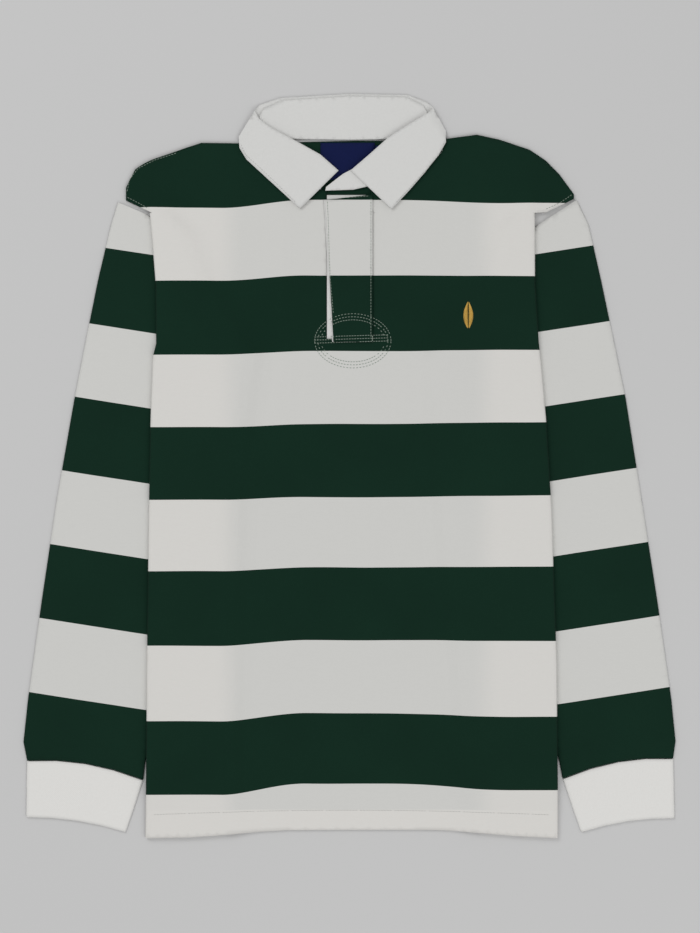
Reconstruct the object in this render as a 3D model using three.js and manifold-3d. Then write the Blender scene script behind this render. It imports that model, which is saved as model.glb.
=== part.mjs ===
// Long-sleeved hooped rugby shirt, laid flat on its back: sides tucked under, sleeves folded down.
// Millimetres, +Z up. It lies on the XY plane with its collar towards +Y.
import * as THREE from 'three';
import { mergeVertices } from 'three/addons/utils/BufferGeometryUtils.js';
import Module from 'manifold-3d';

const wasm = await Module();
wasm.setup();

const jersey = 1.1; // wall of the body and sleeve cloth
const twill = 1.4; // wall of the collar cloth
const gap = 0.3; // space between layers and at seams
const pitch = jersey + gap;
const foldTop = 265; // height where the side folds begin, below the shoulder caps
const foldInset = 1.5 * pitch + jersey / 2; // from a fold's outer face to its centre
const rampWidth = 30; // how far the cloth takes to come down off the tucked sides
const hemDip = { centre: 15, flat: 60, reach: 150, drop: 8.5 };
const placket = { topLeft: -25.7, footLeft: -16.8, right: 24.1, top: 289, foot: 130, lip: 1.4 };
const slot = { left: -24, right: 22.5, top: 300, foot: 133 };
const label = { left: -30.5, right: 26.5, top: 339, foot: 300, wall: 0.8 };
const sizeTab = { left: 27.2, right: 35.5, top: 336, foot: 328 };

// Body sections from hem to fold top: fold lines, widths tucked under, share of the sleeve beneath.
const bodyRows = [
  { y: -382, left: -214.2, right: 218.5, leftTuck: 82, rightTuck: 79, sleeve: 0 },
  { y: -362, left: -213.8, right: 218.6, leftTuck: 80, rightTuck: 79, sleeve: 0.3 },
  { y: -330, left: -213.4, right: 218.4, leftTuck: 78, rightTuck: 80, sleeve: 1 },
  { y: -200, left: -212.3, right: 217, leftTuck: 77, rightTuck: 90, sleeve: 1 },
  { y: -40, left: -210.2, right: 211.5, leftTuck: 79, rightTuck: 101, sleeve: 1 },
  { y: 50, left: -208.6, right: 206, leftTuck: 84, rightTuck: 104, sleeve: 1 },
  { y: 115, left: -206, right: 200, leftTuck: 92, rightTuck: 100, sleeve: 1 },
  { y: 128, left: -202.7, right: 198.5, leftTuck: 78, rightTuck: 84, sleeve: 1 },
  { y: 190, left: -203.2, right: 194.5, leftTuck: 40, rightTuck: 42, sleeve: 1 },
  { y: 245, left: -207.5, right: 194.3, leftTuck: 22, rightTuck: 18, sleeve: 1 },
  { y: foldTop, left: -209.5, right: 194.3, leftTuck: 3, rightTuck: 3, sleeve: 1 },
];
// Shoulder outline, left tip to right tip.
const shoulder = [
  { x: -236, y: 284 }, { x: -233, y: 300 }, { x: -223, y: 313.6 }, { x: -207, y: 321.3 },
  { x: -183, y: 329.5 }, { x: -157, y: 338.8 }, { x: -116, y: 338.3 }, { x: 101, y: 343 },
  { x: 111, y: 346.7 }, { x: 132, y: 347.7 }, { x: 158, y: 342 }, { x: 189, y: 331.5 },
  { x: 205, y: 321 }, { x: 216, y: 310.5 }, { x: 225, y: 300 }, { x: 237, y: 282.5 },
];
// Lower edge of each shoulder cap, from the fold out to the tip.
const capEdge = {
  left: [{ x: -206.8, y: foldTop }, { x: -234.5, y: 278.3 }],
  right: [{ x: 191.6, y: foldTop }, { x: 204.5, y: foldTop }, { x: 235.5, y: 280 }],
};
// Sleeve sections from cuff seam to shoulder: outer edge, inner edge, how far the middle bows up.
const sleeveRows = {
  left: [
    { outX: -338.5, outY: -309.2, inX: -216.4, inY: -329.4, bow: 7 },
    { outX: -342.2, outY: -290, inX: -214.5, inY: -312, bow: 3 },
    { outX: -337.6, outY: -246, inX: -203, inY: -268, bow: 0 },
    { outX: -323, outY: -141, inX: -179, inY: -165, bow: 0 },
    { outX: -307.3, outY: -36, inX: -155.5, inY: -60, bow: 0 },
    { outX: -289, outY: 69, inX: -133, inY: 42, bow: 0 },
    { outX: -276.7, outY: 132, inX: -121, inY: 108, bow: 0 },
    { outX: -264, outY: 195, inX: -166, inY: 178, bow: 0 },
    { outX: -250.4, outY: 252.5, inX: -191, inY: 242, bow: 0 },
    { outX: -243, outY: 276.5, inX: -211.5, inY: 263.2, bow: 0 },
  ],
  right: [
    { outX: 339.7, outY: -306.9, inX: 223.4, inY: -328.1, bow: 7 },
    { outX: 342.2, outY: -289, inX: 220.5, inY: -312, bow: 3 },
    { outX: 337.9, outY: -246, inX: 208, inY: -268, bow: 0 },
    { outX: 323, outY: -141, inX: 179.5, inY: -165, bow: 0 },
    { outX: 306.6, outY: -36, inX: 150.5, inY: -60, bow: 0 },
    { outX: 290.2, outY: 69, inX: 122.5, inY: 42, bow: 0 },
    { outX: 277.2, outY: 132, inX: 106, inY: 108, bow: 0 },
    { outX: 264, outY: 195, inX: 153, inY: 178, bow: 0 },
    { outX: 251, outY: 252.5, inX: 180, inY: 240, bow: 0 },
    { outX: 238.5, outY: 279, inX: 205.5, inY: 257.8, bow: 0 },
  ],
};
const cuffRows = {
  left: [
    { outX: -339.3, outY: -368.6, inX: -235, inY: -384.3, bow: 4 },
    { outX: -339, outY: -340, inX: -226, inY: -358, bow: 5 },
    { outX: -338.6, outY: -310, inX: -216.9, inY: -330.2, bow: 7 },
  ],
  right: [
    { outX: 341.1, outY: -369.7, inX: 243, inY: -384.3, bow: 4 },
    { outX: 340.5, outY: -340, inX: 233, inY: -356, bow: 5 },
    { outX: 339.8, outY: -307.7, inX: 223.9, inY: -328.9, bow: 7 },
  ],
};
// Collar leaf from the left point round the neck to the right point: fold line and free edge.
const leafRows = [
  { foldX: -11.5, foldY: 309.4, edgeX: -52, edgeY: 269.5, foldZ: 6.8, edgeZ: 4.9 },
  { foldX: -30.5, foldY: 326.2, edgeX: -73.6, edgeY: 289.5, foldZ: 6.4, edgeZ: 4.9 },
  { foldX: -55, foldY: 339.9, edgeX: -91.9, edgeY: 306.3, foldZ: 6.4, edgeZ: 4.9 },
  { foldX: -81.4, foldY: 354, edgeX: -108, edgeY: 321, foldZ: 6.6, edgeZ: 4.9 },
  { foldX: -94, foldY: 363, edgeX: -115.3, edgeY: 333, foldZ: 6.4, edgeZ: 4.9 },
  { foldX: -99.3, foldY: 372, edgeX: -115.6, edgeY: 345, foldZ: 3.8, edgeZ: 3 },
  { foldX: -95, foldY: 378.5, edgeX: -106, edgeY: 349, foldZ: 0.9, edgeZ: 0.9 },
  { foldX: -73, foldY: 386, edgeX: -73, edgeY: 345, foldZ: 0.8, edgeZ: 0.8 },
  { foldX: 0.5, foldY: 390.4, edgeX: 0.5, edgeY: 345, foldZ: 0.8, edgeZ: 0.8 },
  { foldX: 61.4, foldY: 389.3, edgeX: 61.4, edgeY: 345, foldZ: 0.8, edgeZ: 0.8 },
  { foldX: 82, foldY: 381.5, edgeX: 91, edgeY: 350.5, foldZ: 0.9, edgeZ: 0.9 },
  { foldX: 87.2, foldY: 375, edgeX: 100.5, edgeY: 351, foldZ: 3.8, edgeZ: 3 },
  { foldX: 82.4, foldY: 370, edgeX: 101, edgeY: 339, foldZ: 6.4, edgeZ: 4.9 },
  { foldX: 63.5, foldY: 358.8, edgeX: 93.5, edgeY: 326, foldZ: 6.6, edgeZ: 4.9 },
  { foldX: 40.4, foldY: 344, edgeX: 79, edgeY: 307.5, foldZ: 6.4, edgeZ: 4.9 },
  { foldX: 22, foldY: 327.5, edgeX: 62, edgeY: 288, foldZ: 6.4, edgeZ: 4.9 },
  { foldX: 1, foldY: 309.4, edgeX: 44.1, edgeY: 269, foldZ: 6.6, edgeZ: 5.1 },
];
// Collar stand from its left front end round the neck to its right front end: seam and upper edge.
const standRows = [
  { seamX: -30, seamY: 290, topX: -34.5, topY: 318, seamZ: 3.6, topZ: 4.4 },
  { seamX: -54, seamY: 300, topX: -57, topY: 333.5, seamZ: 3.6, topZ: 4.4 },
  { seamX: -76, seamY: 315, topX: -80, topY: 347, seamZ: 3.6, topZ: 4.4 },
  { seamX: -90, seamY: 328, topX: -90.5, topY: 358, seamZ: 3.6, topZ: 4.4 },
  { seamX: -97, seamY: 343, topX: -93.5, topY: 367, seamZ: 3.2, topZ: 3.6 },
  { seamX: -92, seamY: 344, topX: -90, topY: 374.5, seamZ: 2.6, topZ: 2.6 },
  { seamX: -68, seamY: 343, topX: -70, topY: 383.4, seamZ: 2.6, topZ: 2.6 },
  { seamX: 0.5, seamY: 342, topX: 0.5, topY: 387.8, seamZ: 2.6, topZ: 2.6 },
  { seamX: 58, seamY: 343, topX: 59.5, topY: 386.7, seamZ: 2.6, topZ: 2.6 },
  { seamX: 78, seamY: 345.5, topX: 77, topY: 379, seamZ: 2.6, topZ: 2.6 },
  { seamX: 84, seamY: 346, topX: 81, topY: 371, seamZ: 3.2, topZ: 3.6 },
  { seamX: 78, seamY: 332, topX: 62, topY: 352, seamZ: 3.6, topZ: 4.4 },
  { seamX: 58, seamY: 312, topX: 38, topY: 337, seamZ: 3.6, topZ: 4.4 },
  { seamX: 34, seamY: 296.5, topX: 16, topY: 318, seamZ: 3.6, topZ: 4.2 },
  { seamX: 4, seamY: 289.5, topX: -7, topY: 306, seamZ: 3.6, topZ: 4 },
  { seamX: -25.5, seamY: 288.5, topX: -24.5, topY: 292.5, seamZ: 3.6, topZ: 4 },
];

const smooth = (t) => THREE.MathUtils.smoothstep(t, 0, 1);
const lerp = THREE.MathUtils.lerp;
const levelZ = (n) => jersey / 2 + n * pitch;

function between(table, x) {
  const last = table.length - 1;
  const after = table.findIndex((row) => row.x >= x);
  if (after === 0) return table[0].y;
  if (after < 0) return table[last].y;
  const a = table[after - 1];
  const b = table[after];
  return lerp(a.y, b.y, (x - a.x) / (b.x - a.x));
}

const spot = (x, y, z, out) => ({ at: new THREE.Vector3(x, y, z), out });
const up = new THREE.Vector3(0, 0, 1);
const down = new THREE.Vector3(0, 0, -1);

// A closed wall of cloth on a grid of spots, each moved out and in by half the wall.
function clothWall(rows, wall, round = false) {
  const across = rows[0].length;
  const half = rows.length * across;
  const positions = [];
  for (const side of [0.5, -0.5]) {
    for (const { at, out } of rows.flat()) positions.push(...at.clone().addScaledVector(out, side * wall));
  }
  const indices = [];
  const quad = (a, b, c, d) => indices.push(a, b, c, a, c, d);
  const columns = round ? across : across - 1;
  for (let i = 0; i < rows.length - 1; i += 1) {
    for (let j = 0; j < columns; j += 1) {
      const a = i * across + j;
      const b = i * across + ((j + 1) % across);
      quad(a, b, b + across, a + across);
      quad(a + half, a + across + half, b + across + half, b + half);
    }
    if (!round) {
      const left = i * across;
      const right = left + across - 1;
      quad(left, left + across, left + across + half, left + half);
      quad(right, right + half, right + across + half, right + across);
    }
  }
  const end = half - across;
  for (let j = 0; j < columns; j += 1) {
    const next = (j + 1) % across;
    quad(j, j + half, next + half, next);
    quad(end + j, end + next, end + next + half, end + j + half);
  }
  const geometry = new THREE.BufferGeometry();
  geometry.setAttribute('position', new THREE.Float32BufferAttribute(positions, 3));
  geometry.setIndex(indices);
  if (signedVolume(geometry) < 0) geometry.setIndex(indices.reverse());
  return geometry;
}

function signedVolume(geometry) {
  const point = (k) => new THREE.Vector3().fromBufferAttribute(geometry.attributes.position, k);
  const index = geometry.index.array;
  let volume = 0;
  for (let k = 0; k < index.length; k += 3) {
    volume += point(index[k]).dot(point(index[k + 1]).cross(point(index[k + 2]))) / 6;
  }
  return volume;
}

function solidOf(geometry) {
  const bare = new THREE.BufferGeometry();
  const source = geometry.index ? geometry.toNonIndexed() : geometry;
  bare.setAttribute('position', source.getAttribute('position'));
  const merged = mergeVertices(bare);
  const triVerts = new Uint32Array(merged.index.array);
  const vertProperties = merged.attributes.position.array;
  return new wasm.Manifold(new wasm.Mesh({ numProp: 3, vertProperties, triVerts }));
}

function geometryOf(solid) {
  const mesh = solid.getMesh();
  const geometry = new THREE.BufferGeometry();
  geometry.setAttribute('position', new THREE.Float32BufferAttribute(mesh.vertProperties, 3));
  geometry.setIndex([...mesh.triVerts]);
  return geometry;
}

function plate(outline, bottom, wall) {
  const shape = new THREE.Shape(outline.map(([x, y]) => new THREE.Vector2(x, y)));
  const geometry = new THREE.ExtrudeGeometry(shape, { depth: wall, bevelEnabled: false });
  return geometry.translate(0, 0, bottom);
}

const box = ({ left, right, top, foot }) => [[left, foot], [right, foot], [right, top], [left, top]];

// Places across a body section, from the left fold to the right fold, with how much each is raised.
function acrossBody(row) {
  const left = row.left + foldInset;
  const right = row.right - foldInset;
  const leftFlat = left + row.leftTuck + 2;
  const rightFlat = right - row.rightTuck - 2;
  const places = [{ x: left, rise: 1 }, { x: lerp(left, leftFlat, 0.5), rise: 1 }];
  for (const t of [0, 1 / 3, 2 / 3, 1]) places.push({ x: leftFlat + rampWidth * t, rise: 1 - smooth(t) });
  for (const t of [0.05, 0.17, 0.5, 0.83, 0.93]) {
    places.push({ x: lerp(leftFlat + rampWidth, rightFlat - rampWidth, t), rise: 0 });
  }
  for (const t of [1, 2 / 3, 1 / 3, 0]) places.push({ x: rightFlat - rampWidth * t, rise: 1 - smooth(t) });
  places.push({ x: lerp(right, rightFlat, 0.5), rise: 1 }, { x: right, rise: 1 });
  return places;
}

function hemY(row, x) {
  if (row !== bodyRows[0]) return row.y;
  const t = THREE.MathUtils.clamp((Math.abs(x - hemDip.centre) - hemDip.flat) / hemDip.reach, 0, 1);
  return row.y - hemDip.drop * smooth(t);
}

// The strip tucked under one side and the fold that joins it to the main panel.
function tuckedSide(row, side, layer) {
  const foldX = side < 0 ? row.left + foldInset : row.right - foldInset;
  const tuck = side < 0 ? row.leftTuck : row.rightTuck;
  const floor = 2 * pitch * row.sleeve;
  const low = levelZ(layer.strip) + floor;
  const radius = (levelZ(layer.main + 2) + floor - low) / 2;
  const points = [];
  for (const t of [1, 0.5]) {
    const x = foldX - side * tuck * t;
    points.push(spot(x, hemY(row, x), low, down));
  }
  for (const degrees of [-90, -45, 0, 45]) {
    const angle = THREE.MathUtils.degToRad(degrees);
    const out = new THREE.Vector3(side * Math.cos(angle), 0, Math.sin(angle));
    points.push(spot(foldX + radius * out.x, hemY(row, foldX), low + radius * (1 + out.z), out));
  }
  return points;
}

function lowerBody(layer) {
  return bodyRows.map((row) => {
    const lift = pitch * (2 + 2 * row.sleeve);
    const main = acrossBody(row).map(({ x, rise }) => (
      spot(x, hemY(row, x), levelZ(layer.main) + lift * rise, up)
    ));
    return [...tuckedSide(row, -1, layer), ...main, ...tuckedSide(row, 1, layer).reverse()];
  });
}

function upperBody(layer) {
  const row = bodyRows.at(-1);
  const places = acrossBody(row);
  const capReach = [27.7, 18, 9];
  const left = capReach.map((reach, k) => ({ x: places[0].x - reach, rise: [0, 0.1, 0.5][k] }));
  const right = [...capReach].reverse().map((reach, k) => (
    { x: places.at(-1).x + reach * 1.58, rise: [0.5, 0.1, 0][k] }
  ));
  return [0, 0.35, 0.7, 1].map((share) => (
    [...left, ...places, ...right].map(({ x, rise }) => {
      const edge = x < 0 ? capEdge.left : capEdge.right;
      const table = x < 0 ? [...edge].reverse() : edge;
      const foot = x < places[0].x || x > places.at(-1).x ? between(table, x) : foldTop;
      const lift = 4 * pitch * rise * (1 - smooth(share));
      return spot(x, lerp(foot, between(shoulder, x), share), levelZ(layer.main) + lift, up);
    })
  ));
}

function neckHole(depth) {
  const shape = new THREE.Shape();
  shape.moveTo(-101, 360);
  shape.lineTo(-101, 341);
  shape.quadraticCurveTo(-60, depth, 0, depth);
  shape.quadraticCurveTo(55, depth, 96, 341);
  shape.lineTo(96, 360);
  const geometry = new THREE.ExtrudeGeometry(shape, { depth: 20, bevelEnabled: false, curveSegments: 8 });
  return solidOf(geometry.translate(0, 0, -2));
}

function bodyPanel(layer, neckDepth) {
  const whole = solidOf(clothWall(lowerBody(layer), jersey)).add(solidOf(clothWall(upperBody(layer), jersey)));
  return whole.subtract(neckHole(neckDepth));
}

// A flattened tube: sections run from its outer edge to its inner edge, along the top and back below.
function flatTube(table) {
  const radius = pitch / 2;
  const inset = radius + jersey / 2;
  const rows = table.map((row) => {
    const outer = new THREE.Vector3(row.outX, row.outY, 0);
    const inner = new THREE.Vector3(row.inX, row.inY, 0);
    const along = inner.clone().sub(outer).normalize();
    const span = inner.distanceTo(outer) - 2 * inset;
    const place = (t, z, out) => {
      const at = outer.clone().addScaledVector(along, inset + span * t);
      at.y += row.bow * 4 * t * (1 - t);
      at.z = z;
      at.addScaledVector(along, out.sideways * radius);
      return { at, out: along.clone().multiplyScalar(out.sideways).setZ(out.rise) };
    };
    const steps = [0, 0.25, 0.5, 0.75, 1];
    const middle = levelZ(0) + radius;
    const flat = { sideways: 0 };
    const arc = (t, degrees) => {
      const angle = THREE.MathUtils.degToRad(degrees);
      const sideways = (t ? 1 : -1) * Math.cos(angle);
      return place(t, middle + radius * Math.sin(angle), { sideways, rise: Math.sin(angle) });
    };
    return [
      ...steps.map((t) => place(t, middle + radius, { ...flat, rise: 1 })), arc(1, 0),
      ...steps.map((t) => place(1 - t, middle - radius, { ...flat, rise: -1 })), arc(0, 0),
    ];
  });
  return clothWall(rows, jersey, true);
}

// A strip of collar cloth between two edges, faced out by the slope of its own surface.
function collarStrip(ends) {
  const shares = [0, 0.5, 1];
  const grid = ends.map(([a, b]) => shares.map((t) => a.clone().lerp(b, t)));
  const rows = grid.map((row, i) => row.map((at, j) => {
    const along = grid[Math.min(i + 1, grid.length - 1)][j].clone().sub(grid[Math.max(i - 1, 0)][j]);
    const over = row[Math.min(j + 1, 2)].clone().sub(row[Math.max(j - 1, 0)]);
    return { at, out: along.cross(over).normalize() };
  }));
  return clothWall(rows, twill);
}

const leafEnds = leafRows.map((row) => [
  new THREE.Vector3(row.foldX, row.foldY, row.foldZ), new THREE.Vector3(row.edgeX, row.edgeY, row.edgeZ),
]);
const standEnds = standRows.map((row) => [
  new THREE.Vector3(row.topX, row.topY, row.topZ), new THREE.Vector3(row.seamX, row.seamY, row.seamZ),
]);

function placketOutline(lip, top) {
  const { topLeft, footLeft, right, foot } = placket;
  return [[footLeft - lip, foot], [right, foot], [right, top + 1.5], [topLeft - lip + 12, top - 3], [topLeft - lip, top - 4]];
}

const green = { color: 0x10271c, roughness: 0.9, metalness: 0 };
const white = { color: 0xc9c9c6, roughness: 0.9, metalness: 0 };
const navy = { color: 0x0a143c, roughness: 0.7, metalness: 0 };
const shirt = new THREE.Group();

function sew(name, geometry, finish) {
  const flat = geometry.index ? geometry.toNonIndexed() : geometry;
  flat.computeVertexNormals();
  const piece = new THREE.Mesh(flat, new THREE.MeshStandardMaterial(finish));
  piece.name = name;
  shirt.add(piece);
}

const placketSlot = solidOf(plate(box(slot), -1, 20));
sew('front_panel', geometryOf(bodyPanel({ main: 1, strip: 0 }, 286).subtract(placketSlot)), green);
sew('back_panel', geometryOf(bodyPanel({ main: 0, strip: 1 }, 341)), green);
for (const side of ['left', 'right']) {
  sew(`sleeve_${side}`, flatTube(sleeveRows[side]), green);
  sew(`cuff_${side}`, flatTube(cuffRows[side]), white);
}
sew('collar_leaf', collarStrip(leafEnds), white);
sew('collar_stand', collarStrip(standEnds), white);
const underSlot = {
  left: slot.left + gap, right: slot.right - gap, top: placket.top - 5, foot: slot.foot + gap,
};
sew('placket_under', plate(box(underSlot), levelZ(1) - jersey / 2, jersey), white);
sew('placket_facing', plate(placketOutline(placket.lip, placket.top - 6), 2 * pitch, 0.6), white);
sew('placket_top', plate(placketOutline(0, placket.top - 6), 2 * pitch + 0.9, jersey), green);
sew('neck_label', plate(box(label), jersey + gap, label.wall), navy);
sew('size_tab', plate(box(sizeTab), jersey + gap, label.wall), navy);

export default shirt;
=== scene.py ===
import math

import bmesh
import bpy
import numpy as np
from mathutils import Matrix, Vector
from mathutils.bvhtree import BVHTree


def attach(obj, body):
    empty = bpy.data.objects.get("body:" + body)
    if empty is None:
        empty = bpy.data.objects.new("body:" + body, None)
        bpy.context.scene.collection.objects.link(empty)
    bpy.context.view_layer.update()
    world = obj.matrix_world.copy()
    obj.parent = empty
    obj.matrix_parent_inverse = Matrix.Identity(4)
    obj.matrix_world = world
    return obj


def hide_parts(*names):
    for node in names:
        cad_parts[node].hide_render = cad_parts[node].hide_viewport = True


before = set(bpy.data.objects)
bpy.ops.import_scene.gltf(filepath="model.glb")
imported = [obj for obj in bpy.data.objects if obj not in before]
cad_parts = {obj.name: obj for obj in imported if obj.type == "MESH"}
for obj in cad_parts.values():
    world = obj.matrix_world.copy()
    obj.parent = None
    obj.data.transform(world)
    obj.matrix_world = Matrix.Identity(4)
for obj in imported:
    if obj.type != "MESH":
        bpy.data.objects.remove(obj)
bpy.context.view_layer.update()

mm = 0.001
print("frame loaded")


class Sock:
    # wraps a shader socket so that sums and products can be written as Python expressions
    def __init__(self, tree, socket):
        self.tree, self.socket = tree, socket

    def math(self, operation, *values):
        return node(self.tree, "ShaderNodeMath", {"operation": operation}, values)

    def __add__(self, other):
        return self.math("ADD", self, other)

    def __radd__(self, other):
        return self.math("ADD", other, self)

    def __sub__(self, other):
        return self.math("SUBTRACT", self, other)

    def __rsub__(self, other):
        return self.math("SUBTRACT", other, self)

    def __mul__(self, other):
        return self.math("MULTIPLY", self, other)

    def __rmul__(self, other):
        return self.math("MULTIPLY", other, self)

    def sine(self):
        return self.math("SINE", self)

    def positive(self):
        return self.math("ABSOLUTE", self)

    def larger(self, other):
        return self.math("MAXIMUM", self, other)


def node(tree, kind, settings, values, output=0):
    made = tree.nodes.new(kind)
    for name, value in settings.items():
        if name == "stops":
            ramp = made.color_ramp
            ramp.interpolation = "CONSTANT"
            for k, (place, shade) in enumerate(value):
                stop = ramp.elements[k] if k < 2 else ramp.elements.new(place)
                stop.position = place
                stop.color = (shade, shade, shade, 1)
        else:
            setattr(made, name, value)
    pairs = values.items() if isinstance(values, dict) else enumerate(values)
    for key, value in pairs:
        if isinstance(value, Sock):
            tree.links.new(value.socket, made.inputs[key])
        else:
            made.inputs[key].default_value = value
    return Sock(tree, made.outputs[output])


def linear(r, g, b):
    # screen colour, 0 to 255, to the linear colour that a shader takes
    def channel(c):
        return ((c / 255 + 0.055) / 1.055) ** 2.4 if c > 10 else c / 3294.6
    return (channel(r), channel(g), channel(b), 1)


def mixColour(tree, share, first, second):
    return node(tree, "ShaderNodeMix", {"data_type": "RGBA"}, {0: share, 6: first, 7: second}, 2)


def smoothStep(tree, value, low, high):
    settings = {"interpolation_type": "SMOOTHSTEP"}
    return node(tree, "ShaderNodeMapRange", settings, {0: value, 1: low, 2: high, 3: 0.0, 4: 1.0})


colours = {
    "green": linear(12, 37, 27),
    "greenLight": linear(18, 48, 35),
    "white": linear(211, 211, 208),
    "whiteDouble": linear(222, 220, 216),
    "collar": linear(221, 221, 219),
    "cuff": linear(231, 230, 227),
    "navy": linear(10, 20, 62),
    "thread": linear(150, 165, 152),
    "whiteThread": linear(200, 200, 196),
    "gold": linear(226, 184, 92),
}

# Edges of the body's hoops from the shoulders down, in millimetres up from the middle of the shirt.
hoops = {
    "body": [277.7, 198.6, 120.3, 43.5, -33, -108.3, -184.6, -259.8, -334.4],
    "sleeveLeft": [600, 228.5, 147.1, 66.3, -12.5, -92.3, -171, -249.9],
    "sleeveRight": [600, 232.3, 149.5, 68.8, -9.8, -88.3, -166.8, -245.9],
    "reach": 700,
    "sleeveTilt": 0.155,
    "leftDip": 3,
    "leftDipEnds": 6.2,
    "rightDip": -2,
    "rightDipEnds": 6.5,
    "dipLength": 300,
}

# Where more layers of cloth lie beneath, so that the white looks brighter.
doubled = {
    "middle": 8,
    "sideStart": 118.0,
    "sideFull": 150.0,
    "sideShare": 0.75,
    "hemStart": -360.0,
    "hemFull": -362.0,
    "hemShare": 1.1,
}


def startMaterial(name, roughness):
    material = bpy.data.materials.new(name)
    material.use_nodes = True
    tree = material.node_tree
    tree.nodes.clear()
    shader = tree.nodes.new("ShaderNodeBsdfPrincipled")
    output = tree.nodes.new("ShaderNodeOutputMaterial")
    tree.links.new(shader.outputs[0], output.inputs[0])
    shader.inputs["Roughness"].default_value = roughness
    shader.inputs["Sheen Weight"].default_value = 0.02
    shader.inputs["Sheen Roughness"].default_value = 0.5
    shader.inputs["Specular IOR Level"].default_value = 0.1
    return material, tree, shader


def clothPlace(tree):
    # the spot on the cloth, and its x and y in millimetres
    spot = node(tree, "ShaderNodeTexCoord", {}, [], 3)
    split = tree.nodes.new("ShaderNodeSeparateXYZ")
    tree.links.new(spot.socket, split.inputs[0])
    x, y = (Sock(tree, s) * 1000 for s in split.outputs[:2])
    return spot, x, y


def knitHeight(tree, spot, x, y, scale):
    # fine ribs of the knit, slightly broken up, plus soft rumples
    wander = node(tree, "ShaderNodeTexNoise", {}, {"Vector": spot, "Scale": 260.0, "Detail": 2.0})
    ribs = (x * scale + wander * 1.4).sine()
    courses = (y * scale * 0.8 + wander).sine()
    rumple = node(tree, "ShaderNodeTexNoise", {}, {"Vector": spot, "Scale": 14.0, "Detail": 3.0})
    return ribs * 0.25 + courses * 0.25 + wander * 0.5 + rumple * 6


def giveBump(tree, shader, height, distance):
    bump = node(tree, "ShaderNodeBump", {}, {"Strength": 0.5, "Distance": distance, "Height": height})
    tree.links.new(bump.socket, shader.inputs["Normal"])


def hoopMask(tree, along, edges):
    # 1 in the white hoops and 0 in the green ones
    reach = hoops["reach"]
    shade = float(len(edges) % 2)
    stops = [(0.0, shade)]
    for edge in reversed(edges):
        shade = 1 - shade
        stops.append((min((edge + reach / 2) / reach, 1.0), shade))
    return node(tree, "ShaderNodeValToRGB", {"stops": stops}, [(along + reach / 2) * (1 / reach)])


def jerseyMaterial(name, kind):
    material, tree, shader = startMaterial(name, 0.9)
    spot, x, y = clothPlace(tree)
    waver = node(tree, "ShaderNodeTexNoise", {}, {"Vector": spot, "Scale": 9.0, "Detail": 1.0}) - 0.5
    if kind == "body":
        share = y * y * (1 / hoops["dipLength"] ** 2)
        left = 1 - smoothStep(tree, x, -135.0, -45.0)
        right = smoothStep(tree, x, 35.0, 175.0)
        dipLeft = (share * hoops["leftDipEnds"] + hoops["leftDip"]) * left
        dipRight = (share * hoops["rightDipEnds"] + hoops["rightDip"]) * right
        along = y + dipLeft + dipRight + waver * 2
    elif kind == "sleeveLeft":
        along = y + (x + 262) * hoops["sleeveTilt"] + waver
    else:
        along = y - (x - 263) * hoops["sleeveTilt"] + waver
    white = hoopMask(tree, along, hoops[kind])
    cloud = node(tree, "ShaderNodeTexNoise", {}, {"Vector": spot, "Scale": 11.0, "Detail": 4.0})
    fine = node(tree, "ShaderNodeTexNoise", {}, {"Vector": spot, "Scale": 900.0, "Detail": 1.0})
    green = mixColour(tree, cloud * 0.7 + fine * 0.5 - 0.1, colours["green"], colours["greenLight"])
    double = 0.0
    if kind == "body":
        away = (x - doubled["middle"]).positive()
        sides = smoothStep(tree, away, doubled["sideStart"], doubled["sideFull"]) * doubled["sideShare"]
        turnUp = smoothStep(tree, y, doubled["hemStart"], doubled["hemFull"]) * doubled["hemShare"]
        double = sides.larger(turnUp)
    pale = mixColour(tree, double + fine * 0.15, colours["white"], colours["whiteDouble"])
    tree.links.new(mixColour(tree, white, green, pale).socket, shader.inputs["Base Color"])
    giveBump(tree, shader, knitHeight(tree, spot, x, y, 5.2), 0.00025)
    return material


def plainMaterial(name, base, shade, roughness, twill):
    material, tree, shader = startMaterial(name, roughness)
    spot, x, y = clothPlace(tree)
    fine = node(tree, "ShaderNodeTexNoise", {}, {"Vector": spot, "Scale": 420.0, "Detail": 3.0})
    colour = mixColour(tree, fine, base, tuple(c * shade for c in base[:3]) + (1,))
    tree.links.new(colour.socket, shader.inputs["Base Color"])
    slant = (x + y) * twill
    giveBump(tree, shader, slant.sine() * 0.4 + fine * 0.8, 0.0002)
    return material


finishes = {
    "body": jerseyMaterial("bodyHoops", "body"),
    "sleeveLeft": jerseyMaterial("leftSleeveHoops", "sleeveLeft"),
    "sleeveRight": jerseyMaterial("rightSleeveHoops", "sleeveRight"),
    "collar": plainMaterial("collarTwill", colours["collar"], 0.95, 0.85, 6.0),
    "rib": plainMaterial("cuffKnit", colours["cuff"], 0.95, 0.9, 3.0),
    "navy": plainMaterial("wovenTape", colours["navy"], 1.4, 0.6, 9.0),
    "thread": plainMaterial("seamThread", colours["thread"], 0.8, 0.6, 12.0),
    "whiteThread": plainMaterial("paleThread", colours["whiteThread"], 0.8, 0.6, 12.0),
    "gold": plainMaterial("goldThread", colours["gold"], 0.8, 0.45, 12.0),
}
print("materials made")

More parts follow.
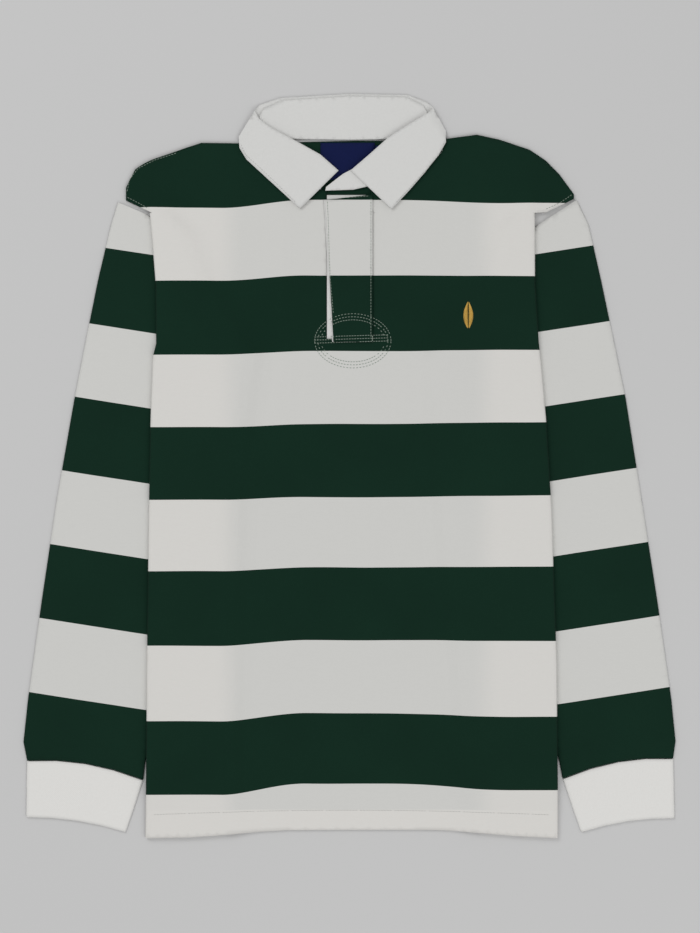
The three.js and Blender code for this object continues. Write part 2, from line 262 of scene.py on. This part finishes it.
# Soft creases: where each starts and ends, how wide and how high it stands (millimetres).
creases = [
    {"x1": -212, "y1": 309, "x2": -208, "y2": 266, "wide": 3.5, "high": 0.9},
    {"x1": -222, "y1": 312, "x2": -200, "y2": 308, "wide": 2.5, "high": 0.5},
    {"x1": 199, "y1": 318, "x2": 196, "y2": 268, "wide": 4.5, "high": -0.8},
    {"x1": -277, "y1": -262, "x2": -252, "y2": -309, "wide": 5, "high": 0.7},
    {"x1": -325, "y1": -283, "x2": -304, "y2": -309, "wide": 4.5, "high": 0.6},
    {"x1": -300, "y1": -255, "x2": -290, "y2": -308, "wide": 6, "high": 0.4},
    {"x1": -236, "y1": -268, "x2": -226, "y2": -318, "wide": 4, "high": 0.5},
    {"x1": 262, "y1": -262, "x2": 250, "y2": -312, "wide": 5, "high": 0.6},
    {"x1": 300, "y1": -262, "x2": 306, "y2": -305, "wide": 4.5, "high": 0.6},
    {"x1": 322, "y1": -280, "x2": 328, "y2": -304, "wide": 3.5, "high": 0.5},
    {"x1": -60, "y1": 262, "x2": -75, "y2": 190, "wide": 9, "high": 0.4},
    {"x1": 60, "y1": 268, "x2": 96, "y2": 196, "wide": 9, "high": 0.4},
    {"x1": -150, "y1": 60, "x2": -118, "y2": -40, "wide": 11, "high": 0.5},
    {"x1": 120, "y1": 90, "x2": 98, "y2": -60, "wide": 12, "high": 0.5},
    {"x1": -126, "y1": -380, "x2": -120, "y2": -250, "wide": 8, "high": 0.4},
    {"x1": 141, "y1": -386, "x2": 137, "y2": -240, "wide": 8, "high": 0.4},
    {"x1": 20, "y1": -130, "x2": 60, "y2": -210, "wide": 14, "high": 0.35},
    {"x1": -40, "y1": 20, "x2": 10, "y2": -60, "wide": 14, "high": 0.35},
]


def creaseHeight(x, y):
    total = np.zeros_like(x)
    for c in creases:
        dx, dy = c["x2"] - c["x1"], c["y2"] - c["y1"]
        span = dx * dx + dy * dy
        t = np.clip(((x - c["x1"]) * dx + (y - c["y1"]) * dy) / span, 0, 1)
        away = np.hypot(x - c["x1"] - t * dx, y - c["y1"] - t * dy)
        fade = np.clip(4 * t * (1 - t) + 0.25, 0, 1)
        total += c["high"] * fade * np.exp(-((away / c["wide"]) ** 2))
    return total


weldDistance = 0.02 * mm
mostHalvings = 7


def refine(mesh, longest):
    # halves long edges until the cloth is fine enough to hold its creases
    work = bmesh.new()
    work.from_mesh(mesh)
    bmesh.ops.remove_doubles(work, verts=work.verts, dist=weldDistance)
    for _ in range(mostHalvings):
        long = [e for e in work.edges if e.calc_length() > longest]
        if not long:
            break
        bmesh.ops.subdivide_edges(work, edges=long, cuts=1)
        bmesh.ops.triangulate(work, faces=[f for f in work.faces if len(f.verts) > 3])
    bmesh.ops.recalc_face_normals(work, faces=work.faces)
    work.to_mesh(mesh)
    work.free()


# Creases lift only cloth above this height, fully so once past the fade (millimetres).
creaseFoot = 1.2
creaseFade = 1.2
sharpAngle = math.radians(35)


def clothFrom(name, finish, longest, creased=0.0):
    # the piece's own shell of cloth, on the form of its solid
    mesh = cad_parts[name].data.copy()
    refine(mesh, longest * mm)
    points = np.empty(len(mesh.vertices) * 3)
    mesh.vertices.foreach_get("co", points)
    points = points.reshape(-1, 3)
    x, y = points[:, 0] / mm, points[:, 1] / mm
    top = np.clip((points[:, 2] / mm - creaseFoot) / creaseFade, 0, 1)
    points[:, 2] += creased * mm * top * creaseHeight(x, y)
    mesh.vertices.foreach_set("co", points.ravel())
    mesh.materials.clear()
    mesh.materials.append(finishes[finish])
    piece = bpy.data.objects.new(name + "Cloth", mesh)
    bpy.context.collection.objects.link(piece)
    mesh.shade_smooth()
    mesh.set_sharp_from_angle(angle=sharpAngle)
    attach(piece, "root")
    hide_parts(name)
    return piece


front = clothFrom("front_panel", "body", 9, 1.0)
back = clothFrom("back_panel", "body", 14, 0.0)
leftSleeve = clothFrom("sleeve_left", "sleeveLeft", 9, 1.0)
rightSleeve = clothFrom("sleeve_right", "sleeveRight", 9, 1.0)
leftCuff = clothFrom("cuff_left", "rib", 6, 0.6)
rightCuff = clothFrom("cuff_right", "rib", 6, 0.6)
leaf = clothFrom("collar_leaf", "collar", 6)
stand = clothFrom("collar_stand", "collar", 6)
underPlacket = clothFrom("placket_under", "collar", 8)
facing = clothFrom("placket_facing", "collar", 8)
topPlacket = clothFrom("placket_top", "body", 6)
label = clothFrom("neck_label", "navy", 6)
tab = clothFrom("size_tab", "navy", 4)
print("cloth pieces made")


def treeOf(*pieces):
    points, faces = [], []
    for piece in pieces:
        base = len(points)
        points += [v.co.copy() for v in piece.data.vertices]
        faces += [[base + k for k in p.vertices] for p in piece.data.polygons]
    return BVHTree.FromPolygons(points, faces)


cover = treeOf(front, leftSleeve, rightSleeve, leftCuff, rightCuff, leaf, stand, topPlacket, facing)


def surfaceZ(x, y, above=0.05, missed=0.002):
    hit = cover.ray_cast(Vector((x, y, above)), Vector((0, 0, -1)))[0]
    return hit.z if hit else missed


# Swelling of a stitch along its length, and its cross-section, as shares of its size.
stitchLength = ((0, 0.35), (0.25, 1), (0.75, 1), (1, 0.35))
stitchSection = ((-1, 0), (-0.6, 0.8), (0.6, 0.8), (1, 0))


def addStitch(work, start, end, width, height):
    # one stitch: a low rounded bar between two points that lie on the cloth
    along = (end - start).normalized()
    side = Vector((-along.y, along.x, 0)) * width / 2
    rings = []
    for t, swell in stitchLength:
        middle = start.lerp(end, t)
        ring = []
        for across, lift in stitchSection:
            raised = Vector((0, 0, height * lift * swell))
            ring.append(work.verts.new(middle + side * across * swell + raised))
        rings.append(ring)
    for a, b in zip(rings, rings[1:]):
        for k in range(4):
            work.faces.new((a[k], a[(k + 1) % 4], b[(k + 1) % 4], b[k]))
    work.faces.new(rings[0][::-1])
    work.faces.new(rings[-1])


def finishThread(name, work, finish):
    bmesh.ops.recalc_face_normals(work, faces=work.faces)
    mesh = bpy.data.meshes.new(name)
    work.to_mesh(mesh)
    work.free()
    mesh.materials.append(finishes[finish])
    mesh.shade_smooth()
    piece = bpy.data.objects.new(name, mesh)
    bpy.context.collection.objects.link(piece)
    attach(piece, "root")
    return piece


def sewAlong(work, path, stitch=2.2, space=0.9, width=0.75):
    # walks a path given in millimetres and lays a row of stitches on the cloth beneath
    points = [Vector((x, y, 0)) * mm for x, y in path]
    step, length = (stitch + space) * mm, stitch * mm
    carry = 0.0
    for a, b in zip(points, points[1:]):
        span = (b - a).length
        along = (b - a) / span
        done = carry
        while done + length <= span:
            ends = []
            for t in (done, done + length):
                p = a + along * t
                ends.append(Vector((p.x, p.y, surfaceZ(p.x, p.y) + 0.00002)))
            addStitch(work, ends[0], ends[1], width * mm, 0.28 * mm)
            done += step
        carry = max(done - span, 0)


def ellipse(cx, cy, rx, ry, count=72):
    turns = [math.tau * k / count for k in range(count + 1)]
    return [(cx + rx * math.cos(t), cy + ry * math.sin(t)) for t in turns]


topstitch = {
    "armhole": [[(-182, 328), (-205, 320.5), (-222, 311.8), (-231, 300), (-233.6, 286)],
                [(-233, 281.5), (-222, 276), (-210, 269)], [(206, 269), (221, 276), (233.5, 284.5)]],
    "placket": [[(-23.5, 280), (-22.5, 262), (-20.5, 200), (-17, 160)], [(22.4, 280), (22.4, 135)],
                [(-24, 279.5), (-12, 280.6), (2, 281.5), (22, 283)]],
    "hem": [[(x, -361.5 - 0.0001 * x * x) for x in range(-205, 214, 18)]],
    "leaf": [[(-57, 276.5), (-75, 294.5), (-93, 311.5), (-109, 326), (-114, 337)],
             [(49, 276), (66, 294), (83, 313), (97, 330), (99.5, 340)]],
}
patch = {"x": 3.5, "y": 131, "wide": 41, "tall": 29.4, "rows": 3, "apart": 3.2}

work = bmesh.new()
for path in topstitch["armhole"] + topstitch["placket"]:
    sewAlong(work, path, width=0.6)
for row in range(patch["rows"]):
    inset = row * patch["apart"]
    rim = ellipse(patch["x"], patch["y"], patch["wide"] - 1 - inset, patch["tall"] - 1 - inset)
    sewAlong(work, rim, 2.0, 0.8, 0.7)
    height = patch["y"] + 5.4 - row * patch["apart"]
    sewAlong(work, [(-37, height - 1.4), (41, height + 1)], 2.0, 0.8, 0.7)
for tack in (-17, 24):
    sewAlong(work, [(tack, 131), (tack, 138)], 1.6, 0.2, 1.2)
seams = finishThread("seamStitches", work, "thread")

work = bmesh.new()
for path in topstitch["hem"] + topstitch["leaf"]:
    sewAlong(work, path, width=0.5)
paleSeams = finishThread("hemStitches", work, "whiteThread")

# Small plain lozenge in satin stitch on the chest.
motif = {"x": 124.4, "y": 158, "wide": 10.5, "tall": 29, "pitch": 0.55}
work = bmesh.new()
count = int(motif["tall"] / motif["pitch"])
for k in range(count):
    t = (k + 0.5) / count * 2 - 1
    reach = motif["wide"] / 2 * math.cos(t * math.pi / 2) ** 0.8
    y = motif["y"] + t * motif["tall"] / 2
    for near, far in ((-reach, -0.35), (0.35, reach)):
        if far - near < 0.5:
            continue
        ends = []
        for x, slant in ((near, -0.8), (far, 0.8)):
            px, py = (motif["x"] + x) * mm, (y + slant * (1 if near < 0 else -1)) * mm
            ends.append(Vector((px, py, surfaceZ(px, py) + 0.00005)))
        addStitch(work, ends[0], ends[1], 0.6 * mm, 0.7 * mm)
embroidery = finishThread("chestMotif", work, "gold")
print("stitches sewn")

studio = {
    "floor": linear(205, 205, 205),
    "floorSize": 8,
    "floorDrop": 0.0002,
    "cameraHeight": 3.2,
    "frameWidth": 0.735,
    "sensorWidth": 36,
    "skyStrength": 0.55,
}
lights = [
    {"name": "key", "place": (-1.7, 1.6, 2.6), "size": 1.8, "power": 32},
    {"name": "fill", "place": (1.5, -1.9, 2.6), "size": 2.4, "power": 30},
]


def addFloor():
    material = bpy.data.materials.new("floorPaper")
    material.use_nodes = True
    shader = material.node_tree.nodes["Principled BSDF"]
    shader.inputs["Base Color"].default_value = studio["floor"]
    shader.inputs["Roughness"].default_value = 1.0
    shader.inputs["Specular IOR Level"].default_value = 0.0
    bpy.ops.mesh.primitive_plane_add(size=studio["floorSize"], location=(0, 0, -studio["floorDrop"]))
    floor = bpy.context.object
    floor.name = "floor"
    floor.data.materials.append(material)


def addLight(name, place, size, power):
    lamp = bpy.data.lights.new(name, "AREA")
    lamp.energy, lamp.size = power, size
    light = bpy.data.objects.new(name, lamp)
    light.location = place
    light.rotation_euler = (-Vector(place)).to_track_quat("-Z", "Y").to_euler()
    bpy.context.collection.objects.link(light)


def addCamera():
    camera = bpy.data.cameras.new("camera")
    camera.sensor_fit = "HORIZONTAL"
    camera.sensor_width = studio["sensorWidth"]
    camera.lens = studio["sensorWidth"] * studio["cameraHeight"] / studio["frameWidth"]
    holder = bpy.data.objects.new("camera", camera)
    holder.location = (0.0005, -0.0008, studio["cameraHeight"])
    bpy.context.collection.objects.link(holder)
    bpy.context.scene.camera = holder


addFloor()
for lamp in lights:
    addLight(**lamp)
world = bpy.data.worlds.new("studio")
world.use_nodes = True
world.node_tree.nodes["Background"].inputs["Color"].default_value = (1, 1, 1, 1)
world.node_tree.nodes["Background"].inputs["Strength"].default_value = studio["skyStrength"]
bpy.context.scene.world = world
bpy.context.scene.view_settings.view_transform = "Standard"
addCamera()
print("studio set")
